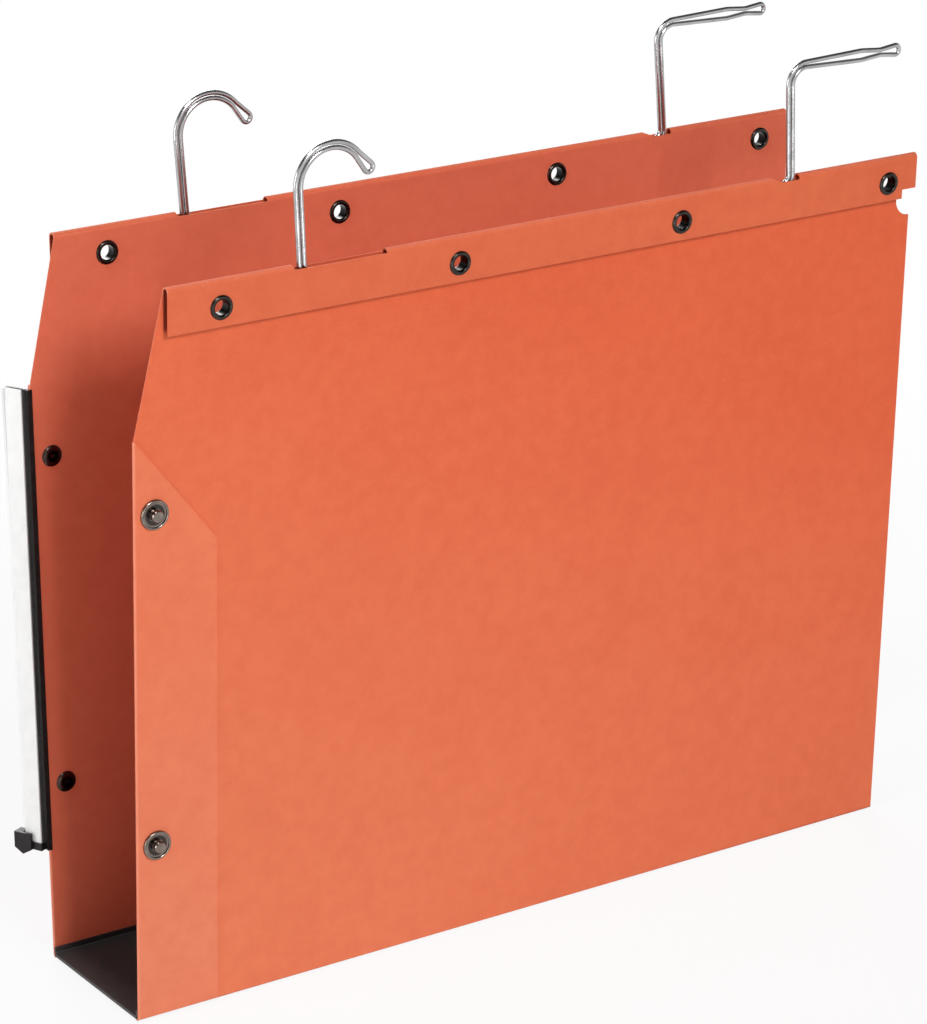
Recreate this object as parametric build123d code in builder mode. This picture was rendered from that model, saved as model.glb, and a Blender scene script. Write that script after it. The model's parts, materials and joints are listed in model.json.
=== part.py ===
from build123d import *

import os
from math import asin, atan2, cos, degrees, hypot, radians, sin

# A hanging file for cupboard rails: two cards on a black base, a wire hanger in the hem of each card,
# and a label holder on the far card's front edge. Millimetres, +Z up. X runs from the open front to the
# rear, and Y from the near card to the far card. The file stands on the undersides of its foot flaps.
# Places on a card are (x from its front edge, height up the card from its crease), and w is the distance
# outside the middle of the card.

# Cards
file_length = 340
card_height = 275           # from the crease to the fold of the hem
base_width = 62             # from crease to crease
card = 0.5                  # thickness of the card
card_lean = 1.5             # degrees that each card leans outwards
crease_gap = 0.7            # from a crease to the card on either side of it
hem_front = 12.5            # where the hem starts behind the front edge
flap_height = 17            # how far the hem's flap hangs down the outer face
shoulder_height = 221.5     # where the front edge starts to slant back to the hem
bite_depth = 6.5            # of the bite out of the rear edge, below the hem's end
bite_height = 11.5
bite_drop = 13.5            # from the fold to the top of the bite
overrun = 2                 # that every cut runs past the card

# Front margin, folded back over the outer face
margin_width = 33
margin_fall = 41            # that its top edge drops from the front edge to its rear edge
margin_gap = 0.2            # between the margin and the card under it

# Base
floor_thickness = 1.2
floor_gap = 0.7             # from each crease to the edge of the floor
lip_height = 1.8            # of the turned-up edges of the base
lip_thickness = 0.8
lip_gap = 0.6               # between the floor and the turned-up edges
foot_flap_width = 22        # of the cards' lower flaps under the floor
foot_flap_inset = 4         # of those flaps behind the floor's ends

# Wire hangers
wire = 1.8
strand_gap = 0.2            # between the two strands where they lie together
hem_slack = 0.4             # on each side of the wire in the hem
hem_drop = 4.2              # from the fold to the middle of the two strands
hem_bend = 4                # radius, in the middle of the strands, where they leave the hem
stem_lean = 3.5             # degrees that the stems lean to the front
front_stem = 66.5           # from the front edge to the front stem
rear_stem_inset = 60        # from the rear stem to the rear edge
front_stem_length = 26.5
round_hook = 13.5           # radius of the round hook
round_hook_sweep = 142      # degrees
rear_stem_length = 34
arm_bend = 7                # radius of the square hook's corner
arm_length = 35
lens_open = 1.8             # degrees that the arm's strands part behind its corner
lens_close = 5.5            # degrees that they close in again before the loop
lens_bend = 12              # radius of those bends
loop_radius = 1.8           # of the wire's turn at a hook's tip
loop_taper = 6.5            # length of the straight sides of the tip's loop
pinch_bend = 5              # radius where the strands open into the loop
wire_end_gap = 2            # between the wire's two ends inside the hem

# Slots in the fold that let the stems out
front_slot_front = 4        # from the stem to the slot's ends
front_slot_rear = 34
front_slot_depth = 1.5
rear_slot_front = 9.5
rear_slot_slant = 5
rear_slot_rear = 3.2
rear_slot_depth = 2

# Eyelets through the hem
eyelet_count = 4
eyelet_front = 33.5         # from the front edge to the first eyelet
eyelet_rear = 13.5          # from the last eyelet to the rear edge
eyelet_gap = 0.85           # from the strands in the hem to an eyelet's tube
eyelet_bore = 5.4
eyelet_wall = 0.35
eyelet_rim = 8.9            # diameter of the rolled rims
eyelet_rim_height = 0.8
eyelet_clearance = 0.15

# Press studs through the front margin
stud_inset = 8              # from the front edge
stud_upper_drop = 27.5      # from the shoulder to the upper stud
stud_lower = 68.5           # from the crease to the lower stud
snap_rim = 11               # diameter of the stud and of the socket
snap_base = 0.6             # thickness of their bases
bead = 0.5                  # radius of the rolled edge of the stud
stud_neck = 3.8             # diameter
stud_ball = 4.6             # diameter
stud_ball_height = 2
stud_height = 3.2
socket_height = 3
socket_wall = 1.6
socket_lip = 0.7            # thickness of the lip that keeps the spring in
socket_mouth = 5            # diameter
socket_round = 0.4          # radius of its outer edge
spring_wire = 0.6
spring_gap = 70             # degrees left open in the ring spring
spring_clearance = 0.2
post_rim = 8                # diameter of the cap on the inner face
post_cap = 1.1
post_dimple = 2.6           # diameter of the dimple in the cap
post_shank = 3
post_clearance = 0.15

# Label holder on the far card's front edge
label_bottom = 46           # from the crease to the sleeve's lower end
holder_drop = 1.5           # from the shoulder to the sleeve's upper end
grip_depth = 0.9            # of the channel that grips the edge of the card
grip_wall = 0.45
grip_clearance = 0.1
grip_reach = 1              # from the card's edge to the label's seat
seat_turn = 65              # degrees from the card to the seat
seat_wall = 0.8
sleeve_width = 8.5
sleeve_depth = 2.4
sleeve_wall = 0.6
label = 0.6                 # thickness of the label
label_clearance = 0.2
foot_bar = 2.8              # height of the bar under the sleeve
knob_height = 3.4           # of the foot's knob above the sleeve's lower end
knob_point = 2.2            # of the knob's point below the bar
knob_inside = 4.5           # from the sleeve's outer edge to the knob's inner side
knob_outside = 3            # from the sleeve's outer edge to the knob's outer side
knob_front = 1.2            # thickness of the knob in front of the sleeve

# Planes of the far card
lean = radians(card_lean)
outward = Vector(0, cos(lean), -sin(lean))
upward = Vector(0, sin(lean), cos(lean))
far_crease = Vector(-file_length / 2, base_width / 2, card / 2)


def card_plane(w):
    """The far card's own plane at w: x to the rear, y up the card, z inwards."""
    return Plane(origin=far_crease + outward * w, x_dir=(1, 0, 0), z_dir=-outward)


def cross_plane(x, height):
    """A level cut through the far card: x to the rear, y outwards, z up the card."""
    origin = far_crease + Vector(x, 0, 0) + upward * height
    return Plane(origin=origin, x_dir=(1, 0, 0), z_dir=upward)


def end_plane(x):
    """A cut across the far card's length: x outwards, y up the card, z to the rear."""
    return Plane(origin=far_crease + Vector(x, 0, 0), x_dir=outward, z_dir=(1, 0, 0))


def save(part, name):
    part.label = name
    export_step(part, f"parts/{name}.step")


def mirrored(part):
    """The near card's copy of a piece of the far card."""
    with BuildPart() as copy:
        mirror(part, about=Plane.XZ)
    return copy.part


def save_pair(part, name):
    save(part, f"far_{name}")
    save(mirrored(part), f"near_{name}")


# Layers of the card, from its middle outwards
hem_pocket = wire + 2 * hem_slack
inner_face = -card / 2
outer_face = card / 2
flap_inner = outer_face + hem_pocket
flap_outer = flap_inner + card
margin_inner = outer_face + margin_gap
margin_outer = margin_inner + card
fold_middle = outer_face + hem_pocket / 2
fold_height = card_height - hem_pocket / 2 - card
margin_fold = margin_gap / 2 + card
rear_stem = file_length - rear_stem_inset
half_pitch = (wire + strand_gap) / 2
hem_middle = card_height - hem_drop
eyelet_height = hem_middle - half_pitch - wire / 2 - eyelet_gap - eyelet_wall - eyelet_bore / 2
eyelet_pitch = (file_length - eyelet_front - eyelet_rear) / (eyelet_count - 1)
eyelet_places = [(eyelet_front + eyelet_pitch * i, eyelet_height) for i in range(eyelet_count)]
stud_upper = shoulder_height - stud_upper_drop
stud_places = {"upper": (stud_inset, stud_upper), "lower": (stud_inset, stud_lower)}

os.makedirs("parts", exist_ok=True)

# Cards, each one sheet with its hem and its front margin folded over
with BuildPart() as far_panel:
    with BuildSketch(card_plane(outer_face)):
        with BuildLine():
            Polyline(
                (margin_fold, crease_gap),
                (file_length, crease_gap),
                (file_length, fold_height),
                (hem_front, fold_height),
                (margin_fold, shoulder_height),
                close=True,
            )
        make_face()
    extrude(amount=card)
    with BuildSketch(end_plane(hem_front)):
        with BuildLine():
            CenterArc((fold_middle, fold_height), hem_pocket / 2 + card, 180, -180)
            Polyline(
                (flap_outer, fold_height),
                (flap_outer, card_height - flap_height),
                (flap_inner, card_height - flap_height),
                (flap_inner, fold_height),
            )
            CenterArc((fold_middle, fold_height), hem_pocket / 2, 0, 180)
            Line((outer_face, fold_height), (inner_face, fold_height))
        make_face()
    extrude(amount=file_length - hem_front)
    with BuildSketch(cross_plane(0, crease_gap)):
        with BuildLine():
            middle = (margin_fold, outer_face + margin_gap / 2)
            CenterArc(middle, margin_fold, 90, 180)
            Line((margin_fold, inner_face), (margin_fold, outer_face))
            CenterArc(middle, margin_gap / 2, 270, -180)
            Line((margin_fold, margin_inner), (margin_fold, margin_outer))
        make_face()
    extrude(amount=shoulder_height - crease_gap)
    with BuildSketch(card_plane(margin_outer)):
        with BuildLine():
            Polyline(
                (margin_fold, crease_gap),
                (margin_width, crease_gap),
                (margin_width, shoulder_height - margin_fall),
                (margin_fold, shoulder_height),
                close=True,
            )
        make_face()
    extrude(amount=card)
    with BuildSketch(card_plane(flap_outer + overrun)):
        with Locations(*eyelet_places):
            Circle(eyelet_bore / 2 + eyelet_wall + eyelet_clearance)
        with Locations(*stud_places.values()):
            Circle(post_shank / 2 + post_clearance)
        slot_top = card_height + overrun
        front_slot_floor = card_height - front_slot_depth
        with BuildLine():
            Polyline(
                (front_stem - front_slot_front, front_slot_floor),
                (front_stem + front_slot_rear, front_slot_floor),
                (front_stem + front_slot_rear, slot_top),
                (front_stem - front_slot_front, slot_top),
                close=True,
            )
        make_face()
        rear_slot_floor = card_height - rear_slot_depth
        with BuildLine():
            Polyline(
                (rear_stem - rear_slot_front + rear_slot_slant, rear_slot_floor),
                (rear_stem + rear_slot_rear, rear_slot_floor),
                (rear_stem + rear_slot_rear, slot_top),
                (rear_stem - rear_slot_front, slot_top),
                (rear_stem - rear_slot_front, card_height),
                close=True,
            )
        make_face()
    extrude(amount=flap_outer + overrun - inner_face + overrun, mode=Mode.SUBTRACT)
save(far_panel.part, "far_panel")

# The near card's rear edge has a bite under the hem
bite_top = card_height - bite_drop
bite_floor = bite_top - bite_height
bite_front = file_length - bite_depth
with BuildPart() as bitten_panel:
    add(far_panel.part)
    with BuildSketch(card_plane(flap_outer + overrun)):
        with BuildLine():
            Line((bite_front, bite_floor + bite_depth), (bite_front, bite_top))
            Line((bite_front, bite_top), (file_length + overrun, bite_top))
            Line((file_length + overrun, bite_top), (file_length + overrun, bite_floor))
            Line((file_length + overrun, bite_floor), (file_length, bite_floor))
            CenterArc((file_length, bite_floor + bite_depth), bite_depth, 270, -90)
        make_face()
    extrude(amount=flap_outer + overrun - inner_face + overrun, mode=Mode.SUBTRACT)
save(mirrored(bitten_panel.part), "near_panel")

# Base: a black floor, its turned-up edges on the cards, and the cards' lower flaps glued under it
with BuildPart() as base_floor:
    with BuildSketch(Plane.XY.offset(card)):
        Rectangle(file_length, base_width - 2 * floor_gap)
    extrude(amount=floor_thickness)
save(base_floor.part, "base_floor")

lip_bottom = card / 2 + floor_thickness + lip_gap
with BuildPart() as far_lip:
    with BuildSketch(card_plane(inner_face)):
        with BuildLine():
            Polyline(
                (0, lip_bottom),
                (file_length, lip_bottom),
                (file_length, lip_bottom + lip_height),
                (0, lip_bottom + lip_height),
                close=True,
            )
        make_face()
    extrude(amount=lip_thickness)
save_pair(far_lip.part, "base_lip")

foot_flap_middle = base_width / 2 - crease_gap - foot_flap_width / 2
with BuildPart() as far_foot_flap:
    with BuildSketch(Plane.XY):
        with Locations((0, foot_flap_middle)):
            Rectangle(file_length - 2 * foot_flap_inset, foot_flap_width)
    extrude(amount=card)
save_pair(far_foot_flap.part, "foot_flap")

# Eyelets, each a tube with both ends rolled over
bore_radius = eyelet_bore / 2
tube_radius = bore_radius + eyelet_wall
rim_width = eyelet_rim / 2 - bore_radius
for number, (x, height) in enumerate(eyelet_places, start=1):
    with BuildPart() as eyelet:
        with BuildSketch(cross_plane(x, height)):
            for face, side in ((flap_outer, 1), (inner_face, -1)):
                with Locations((bore_radius + rim_width / 2, face)):
                    Ellipse(rim_width / 2, eyelet_rim_height)
                with Locations((bore_radius + rim_width / 2, face - side * eyelet_rim_height / 2)):
                    Rectangle(rim_width, eyelet_rim_height, mode=Mode.SUBTRACT)
            with Locations((bore_radius + eyelet_wall / 2, (inner_face + flap_outer) / 2)):
                Rectangle(eyelet_wall, flap_outer - inner_face)
        revolve(axis=Axis(cross_plane(x, height).origin, outward))
    save_pair(eyelet.part, f"eyelet_{number}")

# Press studs: a stud on the near card, a socket with a ring spring on the far card, and a post behind each
shank_bore = post_shank / 2 + post_clearance
base_top = margin_outer + snap_base
neck_radius = stud_neck / 2
stud_top = margin_outer + stud_height
ball_floor = stud_top - stud_ball_height
ball_middle = (stud_top + ball_floor) / 2
for place, (x, height) in stud_places.items():
    snap_plane = cross_plane(x, height)
    snap_axis = Axis(snap_plane.origin, outward)
    with BuildPart() as stud:
        with BuildSketch(snap_plane):
            with BuildLine():
                Polyline(
                    (0, stud_top),
                    (0, base_top),
                    (shank_bore, base_top),
                    (shank_bore, margin_outer),
                    (snap_rim / 2, margin_outer),
                    (snap_rim / 2, base_top),
                )
                CenterArc((snap_rim / 2 - bead, base_top), bead, 0, 180)
                Polyline(
                    (snap_rim / 2 - 2 * bead, base_top),
                    (neck_radius, base_top),
                    (neck_radius, ball_floor),
                )
                ThreePointArc(
                    (neck_radius, ball_floor),
                    (stud_ball / 2, ball_middle),
                    (neck_radius, stud_top),
                )
                Line((neck_radius, stud_top), (0, stud_top))
            make_face()
        revolve(axis=snap_axis)
    save(mirrored(stud.part), f"near_stud_{place}")

    lip_floor = margin_outer + socket_height - socket_lip
    with BuildPart() as socket:
        with BuildSketch(snap_plane):
            with Locations(((shank_bore + snap_rim / 2) / 2, margin_outer + snap_base / 2)):
                Rectangle(snap_rim / 2 - shank_bore, snap_base)
            with Locations((snap_rim / 2 - socket_wall / 2, margin_outer + socket_height / 2)):
                Rectangle(socket_wall, socket_height)
            with Locations(((socket_mouth + snap_rim) / 4, lip_floor + socket_lip / 2)):
                Rectangle((snap_rim - socket_mouth) / 2, socket_lip)
        revolve(axis=snap_axis)
        top_edges = socket.edges().filter_by(GeomType.CIRCLE).filter_by(
            lambda edge: abs(edge.radius - snap_rim / 2) < bead / 2
        )
        fillet(top_edges.sort_by(snap_axis)[-1], socket_round)
    save(socket.part, f"far_socket_{place}")

    spring_radius = snap_rim / 2 - socket_wall - spring_clearance - spring_wire / 2
    with BuildPart() as spring:
        with BuildSketch(snap_plane):
            with Locations((spring_radius, lip_floor - spring_clearance - spring_wire / 2)):
                Circle(spring_wire / 2)
        revolve(axis=snap_axis, revolution_arc=360 - spring_gap)
    save(spring.part, f"far_socket_spring_{place}")

    with BuildPart() as post:
        shank_end = margin_outer + snap_base - post_clearance
        with BuildSketch(snap_plane):
            with Locations((0, inner_face)):
                Ellipse(post_rim / 2, post_cap)
            with Locations((0, inner_face + post_cap / 2)):
                Rectangle(post_rim, post_cap, mode=Mode.SUBTRACT)
            with Locations((0, inner_face - post_cap)):
                Circle(post_dimple / 2, mode=Mode.SUBTRACT)
            with Locations((0, (inner_face + shank_end) / 2)):
                Rectangle(post_shank, shank_end - inner_face)
            with Locations((-post_rim / 2, 0)):
                Rectangle(post_rim, post_rim, mode=Mode.SUBTRACT)
        revolve(axis=snap_axis)
    save_pair(post.part, f"stud_post_{place}")

# Hangers: one wire bent double, with a round hook at the front and a square hook at the rear.
# A run or a turn of the strands' middle line is (length,) or (radius, degrees), turns to the left positive.
hem_half = (rear_stem - front_stem) / 2 - hem_bend
to_front = [
    (hem_half,),
    (hem_bend, stem_lean - 90),
    (front_stem_length,),
    (round_hook, -round_hook_sweep),
]
to_rear = [
    (hem_half,),
    (hem_bend, 90 + stem_lean),
    (rear_stem_length,),
    (arm_bend, -90 - stem_lean),
]
part_angle, meet_angle = radians(lens_open), radians(lens_close)
lens_lift = 2 * lens_bend * (cos(part_angle) - cos(meet_angle))
lens_runs = arm_length - 2 * lens_bend * (sin(part_angle) + sin(meet_angle))
lens_sine = sin(part_angle + meet_angle)
parting_run = (lens_runs * sin(meet_angle) + lens_lift * cos(meet_angle)) / lens_sine
meeting_run = (lens_runs * sin(part_angle) - lens_lift * cos(part_angle)) / lens_sine
taper_reach = loop_radius + pinch_bend
taper_angle = degrees(
    atan2(taper_reach, loop_taper) - asin((half_pitch + pinch_bend) / hypot(taper_reach, loop_taper))
)


def strand(moves, side):
    """One strand beside a middle line: side is 1 on its left and -1 on its right."""
    return [
        move if len(move) == 1 else (move[0] - side * half_pitch * (1 if move[1] > 0 else -1), move[1])
        for move in moves
    ]


def backwards(moves):
    return [move if len(move) == 1 else (move[0], -move[1]) for move in reversed(moves)]


def bow(side):
    """A strand of the arm, bowing away from the other one and back."""
    return [
        (lens_bend, side * lens_open),
        (parting_run,),
        (lens_bend, -side * (lens_open + lens_close)),
        (meeting_run,),
        (lens_bend, side * lens_close),
    ]


def tip(side):
    """The loop at a hook's tip, entered on the side strand and left on the other one."""
    return [
        (pinch_bend, side * taper_angle),
        (loop_taper,),
        (loop_radius, -side * (180 + 2 * taper_angle)),
        (loop_taper,),
        (pinch_bend, side * taper_angle),
    ]


front_out, front_back = strand(to_front, 1), strand(to_front, -1)
rear_out, rear_back = strand(to_rear, 1), strand(to_rear, -1)
wire_moves = front_out[1:] + tip(1) + backwards(front_back)
wire_moves += rear_out + bow(1) + tip(1) + backwards(bow(-1)) + backwards(rear_back[1:])
hem_centre = (front_stem + rear_stem) / 2
lower_strand = hem_middle - half_pitch
with BuildLine() as hanger_line:
    start = (hem_centre - wire_end_gap / 2, lower_strand)
    last = Line(start, (hem_centre - hem_half, lower_strand))
    for move in wire_moves:
        if len(move) == 1:
            last = Line(last @ 1, (last @ 1) + (last % 1) * move[0])
        else:
            last = JernArc(last @ 1, last % 1, *move)
    Line(last @ 1, (hem_centre + wire_end_gap / 2, lower_strand))
hanger_path = card_plane(fold_middle).location * hanger_line.wire()
with BuildPart() as far_hanger:
    with BuildSketch(Plane(origin=hanger_path @ 0, z_dir=hanger_path % 0)):
        Circle(wire / 2)
    sweep(path=hanger_path)
save_pair(far_hanger.part, "hanger")

# Label holder: a channel on the card's front edge carries a turned seat, a clear sleeve and its label
seat_direction = Vector(-cos(radians(seat_turn)), 0, 0) + outward * sin(radians(seat_turn))
seat_corner = far_crease + Vector(-grip_reach, 0, 0) + outward * (margin_outer + grip_clearance)


def seat_plane(height):
    """A level cut through the seat: x along it from the card, y towards its reader, z up the card."""
    return Plane(origin=seat_corner + upward * height, x_dir=seat_direction, z_dir=upward)


holder_length = shoulder_height - holder_drop - label_bottom
grip_inner = inner_face - grip_clearance - grip_wall
grip_outer = margin_outer + grip_clearance + grip_wall
channel = [
    (-grip_reach, grip_inner),
    (grip_depth, grip_inner),
    (grip_depth, grip_inner + grip_wall),
    (-grip_clearance, grip_inner + grip_wall),
    (-grip_clearance, grip_outer - grip_wall),
    (grip_depth, grip_outer - grip_wall),
    (grip_depth, grip_outer),
    (-grip_reach, grip_outer),
]
with BuildPart() as label_carrier:
    with BuildSketch(cross_plane(0, label_bottom)):
        with BuildLine():
            Polyline(*channel, close=True)
        make_face()
    extrude(amount=holder_length)
    with BuildSketch(seat_plane(label_bottom)):
        with BuildLine():
            Polyline((0, 0), (sleeve_width, 0), (sleeve_width, -seat_wall), (0, -seat_wall), close=True)
        make_face()
    extrude(amount=holder_length)
save(label_carrier.part, "label_carrier")

with BuildPart() as label_sleeve:
    with BuildSketch(seat_plane(label_bottom)):
        with Locations((sleeve_width / 2, sleeve_depth / 2)):
            Rectangle(sleeve_width, sleeve_depth)
            Rectangle(sleeve_width - 2 * sleeve_wall, sleeve_depth - 2 * sleeve_wall, mode=Mode.SUBTRACT)
    extrude(amount=holder_length)
save(label_sleeve.part, "label_sleeve")

label_width = sleeve_width - 2 * sleeve_wall - 2 * label_clearance
with BuildPart() as label_insert:
    with BuildSketch(seat_plane(label_bottom)):
        with Locations((sleeve_width / 2, sleeve_depth - sleeve_wall - label_clearance - label / 2)):
            Rectangle(label_width, label)
    extrude(amount=holder_length)
save(label_insert.part, "label_insert")

# Foot: a bar under the sleeve's lower end, on a short channel of its own, with a pointed knob around the
# sleeve's outer corner
reader = upward.cross(seat_direction)
foot_front = seat_corner + reader * (sleeve_depth + knob_front)
bar_floor = label_bottom - foot_bar
knob_inner = sleeve_width - knob_inside
knob_outer = sleeve_width + knob_outside
with BuildPart() as label_foot:
    with BuildSketch(Plane(origin=foot_front, x_dir=seat_direction, z_dir=-reader)):
        with BuildLine():
            Polyline(
                (knob_inner, label_bottom + knob_height),
                (knob_outer, label_bottom + knob_height),
                (knob_outer, bar_floor),
                ((knob_inner + knob_outer) / 2, bar_floor - knob_point),
                (knob_inner, bar_floor),
                close=True,
            )
        make_face()
    extrude(amount=knob_front + sleeve_depth + seat_wall)
    with BuildSketch(seat_plane(bar_floor)):
        with BuildLine():
            Polyline(
                (0, sleeve_depth),
                (knob_outer, sleeve_depth),
                (knob_outer, -seat_wall),
                (0, -seat_wall),
                close=True,
            )
        make_face()
    extrude(amount=foot_bar)
    with BuildSketch(cross_plane(0, bar_floor)):
        with BuildLine():
            Polyline(*channel, close=True)
        make_face()
    extrude(amount=foot_bar)
    with BuildSketch(seat_plane(label_bottom)):
        with BuildLine():
            Polyline(
                (0, sleeve_depth),
                (sleeve_width, sleeve_depth),
                (sleeve_width, -seat_wall - overrun),
                (0, -seat_wall - overrun),
                close=True,
            )
        make_face()
    extrude(amount=knob_height + overrun, mode=Mode.SUBTRACT)
save(label_foot.part, "label_foot")
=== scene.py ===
"""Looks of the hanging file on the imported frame, in a white studio.

Every CAD node gets a procedural material, and four folds close the creases of the base.
"""

import json
import math

import bmesh
import bpy
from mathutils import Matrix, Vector


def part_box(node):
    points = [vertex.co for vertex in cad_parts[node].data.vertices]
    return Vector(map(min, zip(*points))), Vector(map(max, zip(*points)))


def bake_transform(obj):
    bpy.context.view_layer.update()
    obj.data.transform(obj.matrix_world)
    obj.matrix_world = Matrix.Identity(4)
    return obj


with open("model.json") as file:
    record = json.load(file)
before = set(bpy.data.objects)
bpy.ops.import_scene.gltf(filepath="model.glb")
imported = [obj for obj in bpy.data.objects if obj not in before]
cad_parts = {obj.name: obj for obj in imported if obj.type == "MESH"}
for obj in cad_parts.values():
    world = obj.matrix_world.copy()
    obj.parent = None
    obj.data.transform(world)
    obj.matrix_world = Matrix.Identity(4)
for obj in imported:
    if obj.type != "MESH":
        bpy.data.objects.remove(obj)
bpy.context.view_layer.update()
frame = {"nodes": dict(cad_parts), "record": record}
nodes = frame["nodes"]
scene = bpy.context.scene

# Where things are on the file, in metres
FRONT = -0.17                   # the cards' front edges
CREASE_Y, CREASE_Z = 0.031, 0.00025
LEAN = math.radians(1.5)        # of the cards
LENGTH, CARD_TOP = 0.340, 0.275     # of the cards
CARD = 0.0005                   # thickness of the card
SHOULDER = 0.2215               # height up the card where its front edge starts to slant back
HEM, HEM_FRONT = 0.017, 0.0125  # the hem's flap, and where it starts behind the front edge
BASE_EDGE = 0.0025              # height up the card where the black strip ends
CREASE_GAP = 0.0007             # from a crease to the card on either side of it
FLOOR_TOP = 0.00145             # of the black strip's floor, above the crease
LIP_BOTTOM = 0.00205            # of the black strip's turned-up edge, above the crease
LIP_FACE = 0.001                # from the card's middle to the face of that edge
LENGTHWISE, SIDEWAYS, UP = (1.0, 0.0, 0.0), (0.0, 1.0, 0.0), (0.0, 0.0, 1.0)

# Noise textures: scale per metre, detail and roughness, then the span in use and what it becomes
CLOUDS = (20.0, 4.0, 0.55), (0.3, 0.7, 0.0, 0.6)
BLOTCHES = (160.0, 4.0, 0.52), (0.3, 0.7, -0.27, 0.68)
FIBRES = (700.0, 5.0, 0.7), (0.35, 0.7, 0.0, 1.0)
COATING = (500.0, 5.0, 0.55), (0.4, 0.75, 0.0, 1.0)
RAGS = (160.0, 4.0, 0.55), (0.0, 1.0, -0.003, 0.003)
PLASTIC_GRAIN = (500.0, 4.0, 0.55), (0.4, 0.75, 0.0, 1.0)
WIRE_PATCHES = (140.0, 4.0, 0.55), (0.35, 0.7, 0.0, 1.0)
TURNED_PATCHES = (260.0, 4.0, 0.55), (0.35, 0.7, 0.0, 1.0)
PULP = (400.0, 5.0, 0.55), (0.35, 0.7, 0.0, 1.0)
SCUFFS = (220.0, 4.0, 0.55), (0.4, 0.75, 0.0, 1.0)
HAZE = (3.0, 3.0, 0.55), (0.3, 0.7, 0.0, 1.0)
FIBRE_SQUEEZE = (1.0, 1.0, 3.0)     # of the fibres' texture, by axis
RELIEF_DEPTH = 0.0001               # of a bumpy surface, in metres

# Card: tones
# The face's second tone is painted light bounced up from the floor, mixed in towards the bottom and
# the front edge
FACE, BOUNCE_LIT = (0.784, 0.141, 0.058), (0.822, 0.231, 0.114)
# The margin's second tone is painted light bounced up from the floor, paler towards its bottom
MARGIN_TONE, MARGIN_BOUNCE_LIT = (0.825, 0.207, 0.102), (0.830, 0.252, 0.137)
HEM_TONE = (0.717, 0.158, 0.070)
INSIDE = (0.809, 0.187, 0.102)
POCKET_SHADE = (0.400, 0.060, 0.030)  # painted shade inside the hem
PALE = (0.830, 0.245, 0.125)    # of the palest fibres
RUBBED_AND_HIGHLIT = (0.830, 0.285, 0.185)  # of painted highlights along the folds and of worn cut edges
DEPTH = (0.95, 0.89, 0.877)     # of a tone where the dye is deepest
# Card: spans of the masks, up from the crease (v), outwards from the card's middle (w) or back from
# its front edge (x)
BOUNCE_LIT_V = (0.0, 0.27, 0.75, -0.15)   # with the share of the paler tone, painted light bounced up from the floor, at each end
BOUNCE_LIT_X = (0.0, LENGTH, 0.3, -0.2)
MARGIN_W, MARGIN_V = (0.00055, 0.0007), (0.222, 0.2225)
MARGIN_BOUNCE_LIT_V = (0.02, 0.15)
FLAP_W, FLAP_V, FLAP_SHARE = (0.0026, 0.0030), (0.257, 0.2575), 0.8
INSIDE_W = (-0.0001, 0.0001)
FLECK_SPAN, FLECK_SHARE = (0.5, 1.0), 0.3   # of the fibres
POCKET_BACK_W, POCKET_FRONT_W = (0.0002, 0.00024), (0.00286, 0.0029)
POCKET_FOOT_V = (CARD_TOP - HEM, CARD_TOP - HEM + 0.002)
POCKET_TOP_V = (CARD_TOP - 0.0006, CARD_TOP - 0.0005)
POCKET_START_X = (HEM_FRONT, HEM_FRONT + 0.0002)
POCKET_STOP_X = (HEM_FRONT + 0.02, HEM_FRONT + 0.03)    # of the painted shade at the front end
POCKET_REAR_X = (LENGTH - 0.03, LENGTH - 0.02)          # of the painted shade at the rear end
FOOT_V, FOOT_W = (BASE_EDGE, BASE_EDGE + 0.0001), (-0.0002, 0.0)
# Card: painted highlights along its front and hem folds and wear of its cut edges, as the span of
# the mask and the pale tone's share
FRONT_FOLD_HIGHLIGHT = (0.0004, 0.0011), 0.8
SLANT_WEAR = (-0.0007, -0.0002), 0.8        # measured outwards from the slanted cut
HEM_FOLD_HIGHLIGHT = (CARD_TOP - 0.001, CARD_TOP - 0.0001), 0.5
REAR_WEAR = (LENGTH - 0.0005, LENGTH - 0.0001), 0.6
WEAR_AND_HIGHLIGHT_BY_FIBRE = (0.6, 1.0)
CARD_ROUGHNESS, CARD_GLOSS, CARD_RELIEF = (0.55, 0.72), 0.12, 0.2

# Black strip
BLACK, BLACK_WORN = (0.022, 0.0225, 0.0215), (0.034, 0.034, 0.033)
# A painted grey sheen along the black strip's front edge
BLACK_SHEEN = (0.075, 0.068, 0.068)
SHEEN_X, SHEEN_SHARE = (0.0, 0.012), 0.9
BASE_ROUGHNESS, BASE_GLOSS, BASE_RELIEF = (0.5, 0.66), 0.3, 0.15

# Label holder, its slip of paper and its sleeve
HOLDER, HOLDER_WORN = (0.009, 0.007, 0.007), (0.020, 0.017, 0.016)
HOLDER_ROUGHNESS, HOLDER_GLOSS, HOLDER_RELIEF = (0.37, 0.53), 0.25, 0.1
PAPER, PAPER_DULL, PAPER_ROUGHNESS = (0.93, 0.93, 0.92), (0.90, 0.90, 0.89), (0.6, 0.75)
# The sleeve's edge tone and edge alpha paint grey shade along its folded outer edge
CLEAR, CLEAR_SCUFFED, CLEAR_EDGE_SHADE = (0.95, 0.96, 0.97), (0.86, 0.88, 0.90), (0.55, 0.56, 0.57)
CLEAR_ROUGHNESS, CLEAR_ALPHA, EDGE_SHADE_ALPHA = (0.06, 0.14), (0.05, 0.08), 0.5
SLEEVE_EDGE = (-0.0022, -0.0002)    # outwards from the sleeve's outer edge

# Wire
WIRE, WIRE_DULL, WIRE_ROUGHNESS = (0.50, 0.495, 0.50), (0.36, 0.356, 0.36), (0.18, 0.28)
BEVEL_RADIUS, BEVEL_SAMPLES = 0.0004, 8     # of the smoothing of its bends
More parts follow.
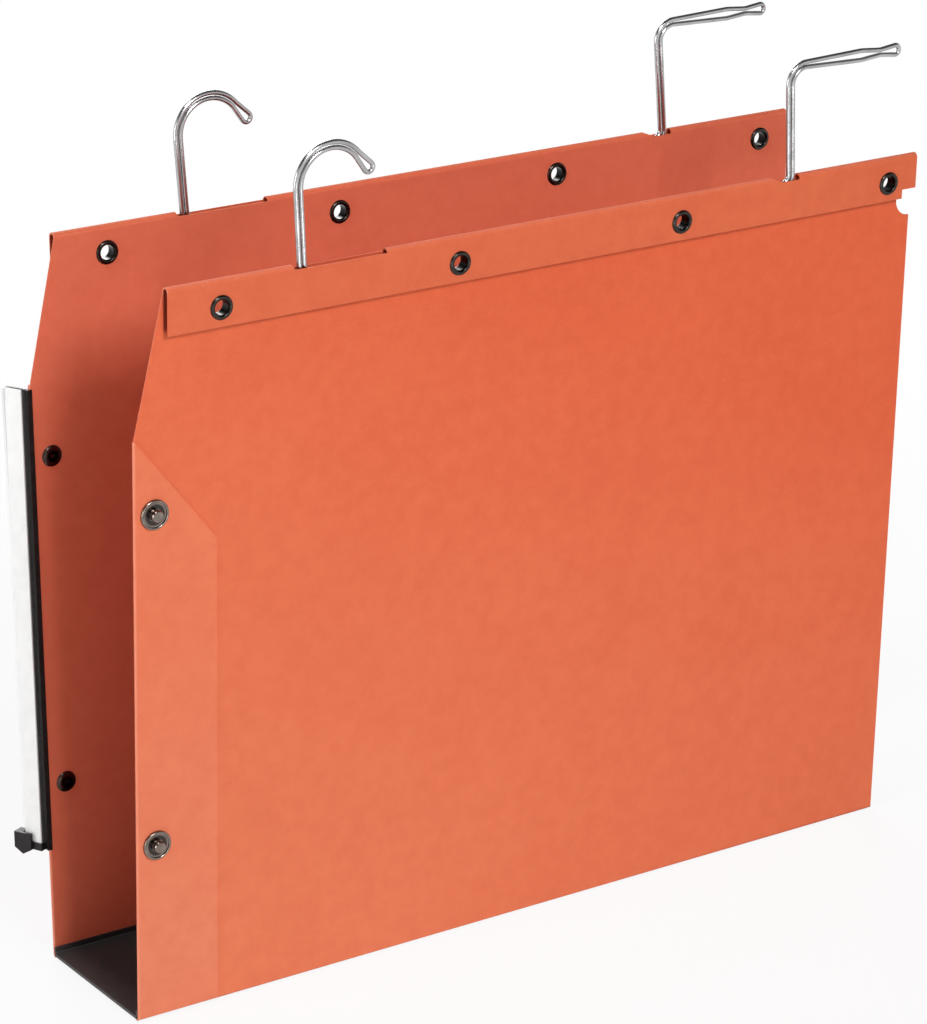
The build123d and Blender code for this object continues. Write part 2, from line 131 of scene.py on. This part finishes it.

# Turned pieces, by slot: tone, dull tone, tone of the painted shade in the recess, radii of the
# recess, roughness
TURNED = {
    "stud_nickel": ((0.28, 0.235, 0.205), (0.17, 0.14, 0.12), (0.055, 0.046, 0.042),
                    (0.0022, 0.0042), (0.14, 0.26)),
    "post_nickel": ((0.085, 0.060, 0.052), (0.045, 0.032, 0.028), (0.006, 0.005, 0.005),
                    (0.0005, 0.0026), (0.2, 0.34)),
    "eyelet_nickel": ((0.062, 0.052, 0.046), (0.030, 0.025, 0.022), (0.010, 0.008, 0.007),
                      (-0.001, 0.0034), (0.16, 0.3)),
}
RECESS_START, RECESS_END = 0.0003, 0.0006   # widths over which the recess's painted shade comes in and clears

# Folds at the creases
BENDS = 12                      # faces across a fold
SUNK = 0.00006                  # of the black fold into the floor and the turned-up edge

# Studio
REACH, FLOOR_Z = 30.0, -0.0005
FLOOR, FLOOR_HAZY, FLOOR_ROUGHNESS = (0.90, 0.90, 0.90), (0.88, 0.88, 0.88), 0.9
GLOW = (0.25, 0.7, 0.88, 1.0)   # distances on the floor, and its glow's share at each
ROOM_Z, ROOM_LOW, ROOM_HIGH = (0.1, 0.9), (0.05, 0.05, 0.052), (0.20, 0.20, 0.205)
CEILING_Z, WALL, CEILING = (0.15, 0.5), (1.0, 1.0, 1.0), (0.10, 0.10, 0.103)
LIGHTS = (                      # name, place, aim, size and power
    ("key", (-0.12, -1.5, 1.15), (-0.02, 0.0, 0.15), (0.5, 0.5), 15.2),
    ("fill", (-0.35, -1.5, 1.15), (-0.02, 0.0, 0.15), (0.8, 0.8), 1.6),
    ("low", (-0.14, -0.75, 0.05), (-0.08, 0.0, 0.05), (0.3, 0.1), 0.6),
    ("left", (-1.5, 0.05, 0.35), (-0.17, 0.05, 0.15), (0.5, 0.8), 7.8),
    ("top", (-0.5, -0.15, 1.2), (-0.15, 0.03, 0.2), (0.2, 0.2), 3.1),
    ("back", (0.5, 1.7, 0.9), (0.0, 0.0, 0.15), (0.9, 0.9), 17.0),
)
LENS, SENSOR = 140.1, 36.0      # millimetres
CLIP = (0.1, 100.0)
CAMERA_PLACE = (-0.79553, -1.15669, 0.66279)
CAMERA_TURN = (69.987, -0.358, -34.096)     # degrees


# Node helpers
def new_material(name):
    material = bpy.data.materials.new(name)
    material.use_nodes = True
    tree = material.node_tree
    return material, tree, tree.nodes["Principled BSDF"]


def link(tree, out, into):
    tree.links.new(out, into)


def place(tree):
    """Coordinates in the file's own frame, in metres."""
    return tree.nodes.new("ShaderNodeTexCoord").outputs["Object"]


def squeezed(tree, scale):
    """The file's coordinates, scaled by axis."""
    mapping = tree.nodes.new("ShaderNodeMapping")
    mapping.inputs["Scale"].default_value = scale
    link(tree, place(tree), mapping.inputs["Vector"])
    return mapping.outputs["Vector"]


def remap(tree, value, low, high, to_low, to_high):
    node = tree.nodes.new("ShaderNodeMapRange")
    node.inputs["From Min"].default_value = low
    node.inputs["From Max"].default_value = high
    node.inputs["To Min"].default_value = to_low
    node.inputs["To Max"].default_value = to_high
    link(tree, value, node.inputs["Value"])
    return node.outputs["Result"]


def rising(tree, value, span, share=1.0):
    """0 before a span of the value, and share after it."""
    return remap(tree, value, *span, 0.0, share)


def falling(tree, value, span, share=1.0):
    """share before a span of the value, and 0 after it."""
    return remap(tree, value, *span, share, 0.0)


def noise(tree, texture, vector=None):
    """One of the noise textures, in the file's frame unless it has a vector of its own."""
    settings, spread = texture
    node = tree.nodes.new("ShaderNodeTexNoise")
    for name, value in zip(("Scale", "Detail", "Roughness"), settings):
        node.inputs[name].default_value = value
    link(tree, place(tree) if vector is None else vector, node.inputs["Vector"])
    return remap(tree, node.outputs["Fac"], *spread)


def maths(tree, operation, *values):
    """One operation on one or two values, each a number or a socket."""
    node = tree.nodes.new("ShaderNodeMath")
    node.operation = operation
    for socket, value in zip(node.inputs, values):
        if isinstance(value, (int, float)):
            socket.default_value = value
        else:
            link(tree, value, socket)
    return node.outputs[0]


def joined(tree, operation, first, *others):
    """One operation over any number of sockets, from left to right."""
    for other in others:
        first = maths(tree, operation, first, other)
    return first


def along(tree, direction, start):
    """Distance from start in a direction, in the file's frame."""
    shifted = tree.nodes.new("ShaderNodeVectorMath")
    shifted.operation = "SUBTRACT"
    shifted.inputs[1].default_value = start
    link(tree, place(tree), shifted.inputs[0])
    dot = tree.nodes.new("ShaderNodeVectorMath")
    dot.operation = "DOT_PRODUCT"
    dot.inputs[1].default_value = direction
    link(tree, shifted.outputs[0], dot.inputs[0])
    return dot.outputs["Value"]


def mixed(tree, fac, a, b):
    """A colour between a and b, each a colour or a socket."""
    node = tree.nodes.new("ShaderNodeMix")
    node.data_type = "RGBA"
    link(tree, fac, node.inputs["Factor"])
    colours = [socket for socket in node.inputs if socket.type == "RGBA"]
    for socket, value in zip(colours, (a, b)):
        if isinstance(value, tuple):
            socket.default_value = (*value, 1.0)
        else:
            link(tree, value, socket)
    return next(socket for socket in node.outputs if socket.type == "RGBA")


def mixed_shader(tree, fac, first, second, output):
    """Two shaders, mixed into the surface of an output node."""
    node = tree.nodes.new("ShaderNodeMixShader")
    link(tree, fac, node.inputs["Fac"])
    link(tree, first, node.inputs[1])
    link(tree, second, node.inputs[2])
    link(tree, node.outputs["Shader"], tree.nodes[output].inputs["Surface"])


def surface(tree, shader, tone, spots, roughness):
    """A surface's tone, and its roughness off and on its spots."""
    link(tree, tone, shader.inputs["Base Color"])
    link(tree, remap(tree, spots, 0.0, 1.0, *roughness), shader.inputs["Roughness"])


def relief(tree, shader, spots, gloss, strength):
    """A surface's gloss, and how far its spots stand out."""
    shader.inputs["Specular IOR Level"].default_value = gloss
    node = tree.nodes.new("ShaderNodeBump")
    node.inputs["Distance"].default_value = RELIEF_DEPTH
    node.inputs["Strength"].default_value = strength
    link(tree, spots, node.inputs["Height"])
    link(tree, node.outputs["Normal"], shader.inputs["Normal"])


# Materials
def dyed(tree, dye, tone):
    """A tone that deepens with the dye."""
    return mixed(tree, dye, tone, tuple(c * d for c, d in zip(tone, DEPTH)))


def card_material(name, side, foot_inside=True):
    """Dyed card: cloudy dye, fibres, a paler front margin, rubbed cut edges and a black foot inside,
    with painted light bounced up from the floor towards the bottom and front, painted highlights
    along the front and hem folds and painted shade inside the ends of the hem.

    side is 1 for the far card and -1 for the near card."""
    material, tree, shader = new_material(name)
    dye = maths(tree, "ADD", noise(tree, CLOUDS), noise(tree, BLOTCHES))
    grain = noise(tree, FIBRES, squeezed(tree, FIBRE_SQUEEZE))
    outwards = (0.0, side * math.cos(LEAN), -math.sin(LEAN))
    upwards = (0.0, side * math.sin(LEAN), math.cos(LEAN))
    crease = (FRONT, side * CREASE_Y, CREASE_Z)
    w = along(tree, outwards, crease)
    x = along(tree, LENGTHWISE, crease)
    v = along(tree, upwards, crease)
    # The face with painted light bounced up from the floor, paler towards the bottom and the front
    # edge, then the front margin, the hem's flap, the inner face and the palest fibres
    bounce_lit = maths(tree, "ADD", remap(tree, v, *BOUNCE_LIT_V), remap(tree, x, *BOUNCE_LIT_X))
    tone = mixed(tree, bounce_lit, dyed(tree, dye, FACE), dyed(tree, dye, BOUNCE_LIT))
    # The margin, paler towards its bottom with painted light bounced up from the floor
    margin_tone = mixed(tree, falling(tree, v, MARGIN_BOUNCE_LIT_V),
                        dyed(tree, dye, MARGIN_TONE), dyed(tree, dye, MARGIN_BOUNCE_LIT))
    margin = maths(tree, "MULTIPLY", rising(tree, w, MARGIN_W), falling(tree, v, MARGIN_V))
    tone = mixed(tree, margin, tone, margin_tone)
    flap = maths(tree, "MULTIPLY", rising(tree, w, FLAP_W, FLAP_SHARE), rising(tree, v, FLAP_V))
    tone = mixed(tree, flap, tone, dyed(tree, dye, HEM_TONE))
    tone = mixed(tree, falling(tree, w, INSIDE_W), tone, dyed(tree, dye, INSIDE))
    tone = mixed(tree, rising(tree, grain, FLECK_SPAN, FLECK_SHARE), tone, PALE)
    # Painted highlights along the front fold and the hem's fold, and wear along the slanted cut and
    # the rear edge
    run, rise = HEM_FRONT, CARD_TOP - SHOULDER
    slant = math.hypot(run, rise)
    slant_start = [c + SHOULDER * u for c, u in zip(crease, upwards)]
    slant_out = (-rise / slant, run / slant * upwards[1], run / slant * upwards[2])
    worn_and_highlit = joined(
        tree, "MAXIMUM",
        falling(tree, x, *FRONT_FOLD_HIGHLIGHT),
        rising(tree, along(tree, slant_out, slant_start), *SLANT_WEAR),
        rising(tree, v, *HEM_FOLD_HIGHLIGHT),
        rising(tree, x, *REAR_WEAR),
    )
    rub_and_highlight = maths(tree, "MULTIPLY", worn_and_highlit, remap(tree, grain, 0.0, 1.0, *WEAR_AND_HIGHLIGHT_BY_FIBRE))
    tone = mixed(tree, rub_and_highlight, tone, RUBBED_AND_HIGHLIT)
    # Painted shade inside the hem at its two ends, and the black strip's foot on the inner face
    front = maths(tree, "MULTIPLY", rising(tree, x, POCKET_START_X), falling(tree, x, POCKET_STOP_X))
    pocket_shade = joined(
        tree, "MULTIPLY",
        rising(tree, w, POCKET_BACK_W),
        falling(tree, w, POCKET_FRONT_W),
        rising(tree, v, POCKET_FOOT_V),
        falling(tree, v, POCKET_TOP_V),
        maths(tree, "MAXIMUM", front, rising(tree, x, POCKET_REAR_X)),
    )
    tone = mixed(tree, pocket_shade, tone, POCKET_SHADE)
    if foot_inside:
        foot = maths(tree, "MULTIPLY", falling(tree, v, FOOT_V), falling(tree, w, FOOT_W))
        tone = mixed(tree, foot, tone, BLACK)
    surface(tree, shader, tone, grain, CARD_ROUGHNESS)
    relief(tree, shader, grain, CARD_GLOSS, CARD_RELIEF)
    return material


def holder_material(name):
    """Black plastic with a fine grain that catches the light."""
    material, tree, shader = new_material(name)
    spots = noise(tree, PLASTIC_GRAIN)
    surface(tree, shader, mixed(tree, spots, HOLDER, HOLDER_WORN), spots, HOLDER_ROUGHNESS)
    relief(tree, shader, spots, HOLDER_GLOSS, HOLDER_RELIEF)
    return material


def base_material(name):
    """Black coated card, with a painted grey sheen towards its front edge."""
    material, tree, shader = new_material(name)
    spots = noise(tree, COATING)
    ragged = maths(tree, "ADD", along(tree, LENGTHWISE, (FRONT, 0.0, 0.0)), noise(tree, RAGS))
    # Painted sheen: greyer towards the front edge, behind a ragged border
    scuff = falling(tree, ragged, SHEEN_X, SHEEN_SHARE)
    tone = mixed(tree, scuff, mixed(tree, spots, BLACK, BLACK_WORN), BLACK_SHEEN)
    surface(tree, shader, tone, spots, BASE_ROUGHNESS)
    relief(tree, shader, spots, BASE_GLOSS, BASE_RELIEF)
    return material


def wire_material(name):
    """Nickel plate with dull patches, smooth round the wire's bends."""
    material, tree, shader = new_material(name)
    patches = noise(tree, WIRE_PATCHES)
    surface(tree, shader, mixed(tree, patches, WIRE, WIRE_DULL), patches, WIRE_ROUGHNESS)
    shader.inputs["Metallic"].default_value = 1.0
    rounded = tree.nodes.new("ShaderNodeBevel")
    rounded.samples = BEVEL_SAMPLES
    rounded.inputs["Radius"].default_value = BEVEL_RADIUS
    link(tree, rounded.outputs["Normal"], shader.inputs["Normal"])
    return material


def turned_material(name, node, colour, dull, recess_shade, recess_radii, roughness):
    """Plated metal of a turned piece, with painted shade on a ring between two radii about its axis.
    """
    material, tree, shader = new_material(name)
    lowest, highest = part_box(node)
    centre = [(a + b) / 2 for a, b in zip(lowest, highest)]
    x = along(tree, LENGTHWISE, centre)
    z = along(tree, UP, centre)
    squares = [maths(tree, "MULTIPLY", distance, distance) for distance in (x, z)]
    radius = maths(tree, "SQRT", maths(tree, "ADD", *squares))
    inner, outer = recess_radii
    # Painted shade in the recess, between its two radii
    recess = maths(
        tree, "MULTIPLY",
        rising(tree, radius, (inner, inner + RECESS_START)),
        falling(tree, radius, (outer - RECESS_END, outer)),
    )
    patches = noise(tree, TURNED_PATCHES)
    tone = mixed(tree, recess, mixed(tree, patches, colour, dull), recess_shade)
    surface(tree, shader, tone, patches, roughness)
    shader.inputs["Metallic"].default_value = 1.0
    return material


def paper_material(name):
    """White slip of paper, left blank."""
    material, tree, shader = new_material(name)
    pulp = noise(tree, PULP)
    surface(tree, shader, mixed(tree, pulp, PAPER, PAPER_DULL), pulp, PAPER_ROUGHNESS)
    return material


def clear_material(name):
    """Clear plastic, faintly scuffed, with painted grey shade along its folded outer edge."""
    material, tree, shader = new_material(name)
    scuff = noise(tree, SCUFFS)
    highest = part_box("label_sleeve")[1]
    # Painted shade along the folded outer edge: greyer and less clear
    edge = rising(tree, along(tree, SIDEWAYS, (0.0, highest[1], 0.0)), SLEEVE_EDGE)
    tone = mixed(tree, edge, mixed(tree, scuff, CLEAR, CLEAR_SCUFFED), CLEAR_EDGE_SHADE)
    surface(tree, shader, tone, scuff, CLEAR_ROUGHNESS)
    clouding = remap(tree, scuff, 0.0, 1.0, *CLEAR_ALPHA)
    edge_shade_clouding = maths(tree, "MULTIPLY", edge, EDGE_SHADE_ALPHA)
    link(tree, maths(tree, "MAXIMUM", clouding, edge_shade_clouding), shader.inputs["Alpha"])
    return material


looks = {
    "base_black": base_material("base_black"),
    "holder_black": holder_material("holder_black"),
    "wire_nickel": wire_material("wire_nickel"),
    "label_paper": paper_material("label_paper"),
    "clear_sleeve": clear_material("clear_sleeve"),
}
far_card, near_card = card_material("card_far", 1), card_material("card_near", -1)
far_fold = card_material("card_far_fold", 1, foot_inside=False)
near_fold = card_material("card_near_fold", -1, foot_inside=False)
for row in frame["record"]["subparts"]:
    node, slot = row["node"], row["material_slot"]
    if node.endswith("foot_flap"):
        look = far_fold if node.startswith("far") else near_fold
    elif slot == "card":
        look = far_card if node.startswith("far") else near_card
    elif slot in TURNED:
        look = turned_material(f"{node}_nickel", node, *TURNED[slot])
    else:
        look = looks[slot]
    mesh = nodes[node].data
    mesh.materials.clear()
    mesh.materials.append(look)


# Folds at the creases, where the card and the black strip bend between the base and a side
def fold(name, side, outer, inner, outer_look, inner_look):
    """A strip along a crease, between two lines of points (inwards from the crease, up from it)."""
    ring = [(side * (CREASE_Y - a), CREASE_Z + b) for a, b in outer + inner[::-1]]
    count, size = len(outer), len(ring)
    corners = [(x, y, z) for x in (FRONT, FRONT + LENGTH) for y, z in ring]
    faces = [(k, (k + 1) % size, size + (k + 1) % size, size + k) for k in range(size)]
    for first in (0, size):
        last = first + size - 1
        faces += [(first + k, first + k + 1, last - k - 1, last - k) for k in range(count - 1)]
    mesh = bpy.data.meshes.new(name)
    mesh.from_pydata(corners, [], faces)
    shell = bmesh.new()
    shell.from_mesh(mesh)
    bmesh.ops.recalc_face_normals(shell, faces=shell.faces)
    shell.to_mesh(mesh)
    shell.free()
    for look in (outer_look, inner_look):
        mesh.materials.append(look)
    for polygon in mesh.polygons:
        polygon.use_smooth = polygon.index < size
        polygon.material_index = 1 if count <= polygon.index < size - 1 else 0
    piece = bpy.data.objects.new(name, mesh)
    scene.collection.objects.link(piece)
    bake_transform(piece)


turn = math.pi / 2 + LEAN       # from a foot flap round to its card
bend = CREASE_GAP * math.tan(turn / 2)
angles = [-math.pi / 2 - (math.pi - turn) * k / BENDS for k in range(BENDS + 1)]
outside, inside = (
    [(CREASE_GAP + r * math.cos(t), bend + r * math.sin(t)) for t in angles]
    for r in (bend + CARD / 2, bend - CARD / 2)
)
low, high = FLOOR_TOP - SUNK, LIP_BOTTOM + SUNK
rises = [low + (high - low) * k / BENDS for k in range(BENDS + 1)]
behind, before = ([(a, b) for b in rises] for a in (LIP_FACE / 2, LIP_FACE - SUNK / 4))
black = looks["base_black"]
for name, side, look in (("far", 1, far_fold), ("near", -1, near_fold)):
    fold(f"{name}_card_fold", side, outside, inside, look, black)
    fold(f"{name}_base_fold", side, behind, before, black, black)


def seen_directly(tree):
    """1 for rays from the camera, off a glossy surface or through a clear one."""
    path = tree.nodes.new("ShaderNodeLightPath").outputs
    kinds = ("Is Camera Ray", "Is Glossy Ray", "Is Transmission Ray")
    return joined(tree, "MAXIMUM", *(path[kind] for kind in kinds))


# Floor, white to the camera, metal and clear plastic, with the object's shadow around it
floor_mesh = bpy.data.meshes.new("floor")
corners = [(-REACH, -REACH, 0), (REACH, -REACH, 0), (REACH, REACH, 0), (-REACH, REACH, 0)]
floor_mesh.from_pydata(corners, [], [(0, 1, 2, 3)])
floor = bpy.data.objects.new("floor", floor_mesh)
floor.location.z = FLOOR_Z
scene.collection.objects.link(floor)
floor_look, tree, shader = new_material("floor")
link(tree, mixed(tree, noise(tree, HAZE), FLOOR, FLOOR_HAZY), shader.inputs["Base Color"])
shader.inputs["Roughness"].default_value = FLOOR_ROUGHNESS
glow = tree.nodes.new("ShaderNodeEmission")
glow.inputs["Color"].default_value = (1, 1, 1, 1)
away = tree.nodes.new("ShaderNodeVectorMath")
away.operation = "LENGTH"
link(tree, place(tree), away.inputs[0])
share = maths(tree, "MULTIPLY", seen_directly(tree), remap(tree, away.outputs["Value"], *GLOW))
mixed_shader(tree, share, shader.outputs["BSDF"], glow.outputs["Emission"], "Material Output")
floor_mesh.materials.append(floor_look)

# World: white walls under a grey ceiling to the camera, metal and clear plastic, and a dim room to
# the rest
world = bpy.data.worlds.new("studio")
scene.world = world
world.use_nodes = True
tree = world.node_tree
room, white = tree.nodes["Background"], tree.nodes.new("ShaderNodeBackground")
parts = tree.nodes.new("ShaderNodeSeparateXYZ")
link(tree, tree.nodes.new("ShaderNodeTexCoord").outputs["Generated"], parts.inputs[0])
skies = (room, ROOM_Z, ROOM_LOW, ROOM_HIGH), (white, CEILING_Z, WALL, CEILING)
for background, span, below, above in skies:
    tone = mixed(tree, rising(tree, parts.outputs["Z"], span), below, above)
    link(tree, tone, background.inputs["Color"])
    background.inputs["Strength"].default_value = 1.0
dim, bright = room.outputs["Background"], white.outputs["Background"]
mixed_shader(tree, seen_directly(tree), dim, bright, "World Output")

# Lights
for name, at, aim, size, power in LIGHTS:
    data = bpy.data.lights.new(name, "AREA")
    data.shape = "RECTANGLE"
    data.size, data.size_y = size
    data.energy = power
    light = bpy.data.objects.new(name, data)
    light.location = at
    light.rotation_euler = (Vector(aim) - Vector(at)).to_track_quat("-Z", "Y").to_euler()
    scene.collection.objects.link(light)

# Camera
camera_data = bpy.data.cameras.new("camera")
camera_data.lens, camera_data.sensor_width = LENS, SENSOR
camera_data.clip_start, camera_data.clip_end = CLIP
camera = bpy.data.objects.new("camera", camera_data)
camera.location = CAMERA_PLACE
camera.rotation_euler = [math.radians(angle) for angle in CAMERA_TURN]
scene.collection.objects.link(camera)
scene.camera = camera
scene.view_settings.view_transform = "Standard"
